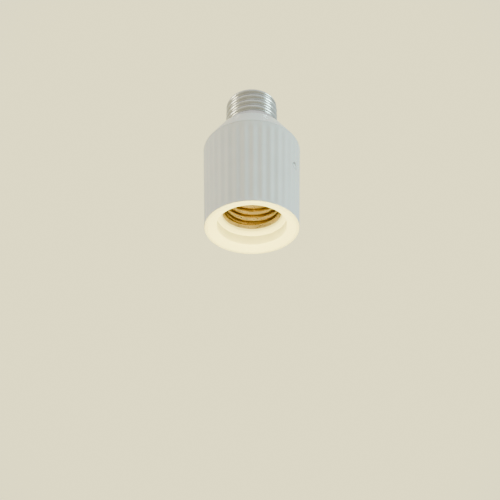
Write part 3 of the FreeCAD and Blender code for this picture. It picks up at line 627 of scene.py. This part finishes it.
def roll_thread(piece, low, high, ease, swing):
    """Rolls a right-hand knuckle thread into a tube: its radius changes by swing at the valleys."""
    for vertex in piece.data.vertices:
        spot = vertex.co
        height = spot.z / MM
        share = fade(height, low, low + ease) * (1 - fade(height, high - ease, high))
        if share == 0:
            continue
        turn = math.atan2(spot.y, spot.x) / (2 * math.pi)
        wave = 0.5 - 0.5 * math.cos(2 * math.pi * (height / PITCH - turn))
        radius = math.hypot(spot.x, spot.y)
        scale = (radius + swing * MM * share * wave) / radius
        spot.x *= scale
        spot.y *= scale


def dent(piece, height, count, width, depth):
    """Staking dents that hold the sheet to the plastic under it."""
    for vertex in piece.data.vertices:
        spot = vertex.co
        radius = math.hypot(spot.x, spot.y)
        turn = math.atan2(spot.y, spot.x) * count / (2 * math.pi)
        across = (turn - round(turn)) * 2 * math.pi / count * radius / MM
        up = spot.z / MM - height
        reach = math.hypot(across, up) / width
        if reach < 1:
            scale = 1 - depth * MM * (1 - reach * reach) ** 2 / radius
            spot.x *= scale
            spot.y *= scale


def lamp_base():
    """The tube is drawn at its outer face, and the sheet's thickness goes inwards."""
    foot = [(13.02, 56.02), (BASE_CREST, 56.12)]
    straight = [(BASE_CREST, height) for height in rows(56.12, 75.0, THREAD_STEP)]
    bend = [(13.02, 75.3), (12.8, 75.8), (12.4, 76.35), (11.8, 76.85), (11.0, 77.2), (10.1, 77.37)]
    stops = foot + straight + bend + [(8.8, SHELL_END)]
    piece = start_ring("lamp_base", *stops[0], 168)
    draw_on(stops)
    merged(piece)
    roll_thread(piece, low=60.0, high=76.0, ease=1.9, swing=BASE_SWING)
    dent(piece, height=58.4, count=12, width=0.8, depth=0.18)
    applied(piece, "SOLIDIFY", thickness=SHEET * MM, offset=-1.0)
    return smooth(piece, 50)


def glass_cone():
    foot = [(STEM_HOLE, GLASS_UNDER), (10.35, GLASS_UNDER), (10.45, 74.6), (10.45, 77.05), (8.7, 77.1)]
    slope = [(8.7, 77.45), (8.45, 77.75), (7.7, 78.35), (6.8, 79.0), (6.0, 79.7), (5.45, 80.2)]
    top = [(5.15, 80.38), (4.9, GLASS_TOP), (STEM_HOLE, GLASS_TOP)]
    return smooth(turned_ring("glass_cone", foot + slope + top, 96), 50)


def centre_contact():
    stem = [(STEM, 74.0), (STEM, GLASS_TOP)]
    plate = [(4.6, GLASS_TOP), (4.8, 80.5), (4.8, 80.95), (4.6, 81.1), (3.6, 81.14), (3.2, 81.2)]
    return smooth(turned_solid("centre_contact", stem + plate + dome(3.1, 81.25, CONTACT_TOP), 72), 40)


fitted(lamp_base(), plated, "plated_shell", "housing", "base_shell")
fitted(glass_cone(), black_glass, "black_glass", "housing", "base_insulator")
fitted(centre_contact(), solder_metal, "solder", "housing", "base_contact")


# Socket: liner, screw shell, contacts

def liner():
    flange = [(15.75, COLLAR_END), (19.1, COLLAR_END), (FLANGE, 6.9), (FLANGE, 8.3), (19.1, FLANGE_TOP)]
    outside = [(15.65, FLANGE_TOP), (LINER_OUTSIDE, 8.55), (LINER_OUTSIDE, 32.5), (15.4, LINER_END)]
    inside = [(14.1, LINER_END), (LINER_BORE, 32.5), (LINER_BORE, 8.55), (14.25, 8.1), (15.55, 6.95)]
    return smooth(turned_ring("liner", flange + outside + inside, 144), 50)


def screw_shell():
    """The tube is drawn at its inner face, and the sheet's thickness goes outwards."""
    lip = [(13.5, 9.2), (13.25, 9.6), (12.85, 10.2), (12.5, 10.7)]
    straight = [(SOCKET_CREST, height) for height in rows(10.7, 27.8, THREAD_STEP)]
    back = [(12.65, 28.05), (SCREW_BACK, 28.35), (SCREW_BACK, 29.5), (SCREW_BACK, 31.1)]
    bend = [(12.75, 31.55), (12.4, 31.95), (11.9, 32.2), (11.4, SCREW_END), (SCREW_END_HOLE, SCREW_END)]
    stops = lip + straight + back + bend
    piece = start_ring("screw_shell", *stops[0], 168)
    draw_on(stops)
    merged(piece)
    roll_thread(piece, low=10.4, high=28.2, ease=1.6, swing=SOCKET_SWING)
    applied(piece, "SOLIDIFY", thickness=SHEET * MM, offset=1.0)
    return smooth(piece, 50)


def rivet(name, across, shank, head, under):
    """A rivet with a domed head below the socket's base and a set head above it."""
    low = under - 0.55
    domed = [(head * 0.35, low), (head * 0.7, low + 0.06), (head * 0.93, low + 0.24), (head, low + 0.45)]
    straight = [(head, under), (shank, under), (shank, SOCKET_BASE_TOP), (head, SOCKET_BASE_TOP)]
    set_head = [(head, 36.45), (head * 0.85, 36.65), (head * 0.5, 36.75)]
    piece = smooth(turned_solid(name, domed + straight + set_head, 40), 40)
    only(piece)
    bpy.ops.transform.translate(value=(across * MM, 0, 0))
    bpy.ops.object.transform_apply(location=True, rotation=True, scale=True)
    return piece


fitted(liner(), white_liner, "liner_plastic", "housing", "socket_liner")
fitted(screw_shell(), socket_brass_painted_shade, "socket_brass", "housing", "socket_shell")
for side, out in (("right", SHELL_RIVETS_OUT), ("left", -SHELL_RIVETS_OUT)):
    shell_rivet = rivet(f"rivet_{side}", out, shank=0.8, head=1.3, under=SCREW_END)
    fitted(shell_rivet, socket_brass_painted_shade, "socket_brass", "housing", "shell_rivets")
contact_rivet = rivet("rivet_contact", -CONTACT_RIVET_OUT, shank=1.0, head=1.5, under=32.2)
fitted(contact_rivet, socket_brass_painted_shade, "socket_brass", "housing", "contact_rivet")


def first_edge(piece, across, half_width, up):
    """Reduces a plane to one edge across the strip, at its start, and leaves it selected."""
    bpy.ops.object.mode_set(mode="EDIT")
    bpy.ops.mesh.select_all(action="SELECT")
    bpy.ops.mesh.delete(type="ONLY_FACE")
    mesh = bmesh.from_edit_mesh(piece.data)
    edge = min(mesh.edges, key=lambda one: sum(end.co.x for end in one.verts))
    spare = [end for end in mesh.verts if end not in edge.verts]
    bmesh.ops.delete(mesh, geom=spare, context="VERTS")
    for end in mesh.verts:
        end.co = Vector((across * MM, math.copysign(half_width * MM, end.co.y), up * MM))
        end.select_set(True)
    mesh.select_flush_mode()
    bmesh.update_edit_mesh(piece.data)


def contact_leaf():
    """The sprung strip, drawn as a run along its length and then given its width and thickness."""
    root = [(-7.09, 32.4), (-4.2, 32.4), (-3.5, 32.36), (-3.05, 32.15), (-2.75, 31.8)]
    bow = [(-1.6, 30.25), (-1.25, 29.95), (-0.8, 29.8), (0.0, 29.8), (1.6, 29.8), (2.2, 29.84), (2.6, 30.0)]
    run = root + bow
    nothing_selected()
    bpy.ops.mesh.primitive_plane_add(size=1.0)
    piece = bpy.context.object
    piece.name = "contact_leaf"
    piece.data.name = "contact_leaf"
    first_edge(piece, run[0][0], LEAF_HALF_WIDTH, run[0][1])
    for (across, up), (next_across, next_up) in zip(run, run[1:]):
        step = ((next_across - across) * MM, 0, (next_up - up) * MM)
        bpy.ops.mesh.extrude_edges_move(TRANSFORM_OT_translate={"value": step})
    bpy.ops.transform.resize(value=(1, LEAF_TAIL_SHARE, 1), center_override=(0, 0, 0))
    bpy.ops.mesh.select_all(action="SELECT")
    bpy.ops.mesh.normals_make_consistent(inside=False)
    bpy.ops.object.mode_set(mode="OBJECT")
    applied(piece, "SOLIDIFY", thickness=LEAF_THICK * MM, offset=0.0)
    rounded(piece, width=0.08, segments=2, angle=60)
    return smooth(piece, 40)


def contact_button():
    """The domed silver contact under the strip's bow."""
    edge = [(2.05, 29.55), (2.2, 29.45), (2.2, 29.2), (2.05, 29.05)]
    crown = [(1.85 * math.cos(turn), 29.0 - 0.25 * math.sin(turn)) for turn in (0.3, 0.6, 0.9, 1.2, 1.45)]
    return smooth(turned_solid("contact_button", edge + crown, 48), 40)


leaf = finish_with(contact_leaf(), spring_metal)
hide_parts("contact_spring")
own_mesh(leaf)
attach(leaf, "housing")
fitted(contact_button(), spring_metal, "spring_brass", "contact", "contact_tip")


# Pairing button

def push_button():
    flange = [(2.1, 19.85), (2.2, 19.95), (2.2, 20.55), (2.1, 20.65)]
    side = [(BUTTON, 20.65), (BUTTON, 22.34), (1.31, 22.44), (1.22, 22.51)]
    face = [(1.0, 22.55), (0.6, 22.575), (0.2, 22.58)]
    return smooth(on_button_axis(turned_solid("push_button", flange + side + face, 64)), 40)


fitted(push_button(), white_button, "button_plastic", "button", "pair_button")


# Studio: the floor, far below because the camera looks up at the piece
FLOOR_SIZE = 12.0
FLOOR_HEIGHT = -0.7

nothing_selected()
bpy.ops.mesh.primitive_plane_add(size=FLOOR_SIZE, location=(0, 0, FLOOR_HEIGHT))
studio_floor = bpy.context.object
studio_floor.name = "studio_floor"
finish_with(studio_floor, studio_paper("studio_paper"))

# Light from the surroundings: low down at left and right, high up, and from a cream backdrop
LOW_LEFT = (1.02, 0.98, 0.62)
LOW_RIGHT = (0.83, 1.09, 1.07)
HIGH = (1.16, 1.16, 1.12)
BACKDROP = (2.06, 1.90, 0.98)
BACKDROP_WAY = (0.0, 0.848, 0.53)
# It is even within the first angle of its middle and ends at the second, in degrees
BACKDROP_FULL = 24.0
BACKDROP_END = 46.0


def surroundings():
    """Pale light from all round, warmer on the left, and the backdrop high up behind the piece."""
    world = bpy.data.worlds.new("pale_surroundings")
    bpy.context.scene.world = world
    world.use_nodes = True
    nodes, links = world.node_tree.nodes, world.node_tree.links
    direction = nodes.new("ShaderNodeTexCoord").outputs["Generated"]
    parts = nodes.new("ShaderNodeSeparateXYZ")
    links.new(direction, parts.inputs["Vector"])
    towards = nodes.new("ShaderNodeVectorMath")
    towards.operation = "DOT_PRODUCT"
    towards.inputs[1].default_value = BACKDROP_WAY
    links.new(direction, towards.inputs[0])

    def grade(value, start, end, low, high):
        """A colour that eases from low to high between two values."""
        reach = nodes.new("ShaderNodeMapRange")
        reach.interpolation_type = "SMOOTHSTEP"
        reach.inputs["From Min"].default_value = start
        reach.inputs["From Max"].default_value = end
        links.new(value, reach.inputs["Value"])
        mix = nodes.new("ShaderNodeMix")
        mix.data_type = "RGBA"
        links.new(reach.outputs["Result"], mix.inputs["Factor"])
        for socket, colour in (("A", low), ("B", high)):
            if isinstance(colour, tuple):
                mix.inputs[socket].default_value = (*colour, 1)
            else:
                links.new(colour, mix.inputs[socket])
        return mix.outputs["Result"]

    low = grade(parts.outputs["X"], -0.8, 0.8, LOW_LEFT, LOW_RIGHT)
    around = grade(parts.outputs["Z"], 0.0, 0.9, low, HIGH)
    backdrop_end = math.cos(math.radians(BACKDROP_END))
    backdrop_full = math.cos(math.radians(BACKDROP_FULL))
    both = grade(towards.outputs["Value"], backdrop_end, backdrop_full, around, BACKDROP)
    links.new(both, nodes["Background"].inputs["Color"])


def soft_light(name, where, towards, size, power, colour):
    """A round soft light that the camera doesn't see."""
    light = bpy.data.lights.new(name, "AREA")
    light.shape = "DISK"
    light.size = size
    light.energy = power
    light.color = colour
    placed = bpy.data.objects.new(name, light)
    bpy.context.scene.collection.objects.link(placed)
    placed.location = where
    placed.rotation_mode = "QUATERNION"
    placed.rotation_quaternion = (Vector(towards) - Vector(where)).to_track_quat("-Z", "Y")
    placed.visible_camera = False


surroundings()
soft_light("left_softbox", where=(-0.60, -0.20, 0.10), towards=(0, 0, 0.03),
           size=0.26, power=1.9, colour=(1.0, 0.95, 0.64))
soft_light("right_softbox", where=(0.57, -0.20, 0.12), towards=(0, 0, 0.03),
           size=0.26, power=3.5, colour=(0.64, 0.98, 0.94))
soft_light("mouth_glow", where=(0.0, 0.0, -0.03), towards=(0, 0, 0.0),
           size=0.042, power=0.128, colour=(1.0, 0.825, 0.15))

# Camera at the photograph's angle: below the mouth and looking up at it
CAMERA_PLACE = (-0.00086, -0.2364, -0.1588)
CAMERA_LOOKS_UP = 32.0
LENS = 45.14

camera_data = bpy.data.cameras.new("viewpoint")
camera_data.lens = LENS
camera_data.sensor_width = 36.0
camera_data.clip_start = 0.01
camera_data.clip_end = 50.0
camera = bpy.data.objects.new("viewpoint", camera_data)
bpy.context.scene.collection.objects.link(camera)
camera.location = CAMERA_PLACE
camera.rotation_euler = (math.radians(90 + CAMERA_LOOKS_UP), 0, 0)
bpy.context.scene.camera = camera
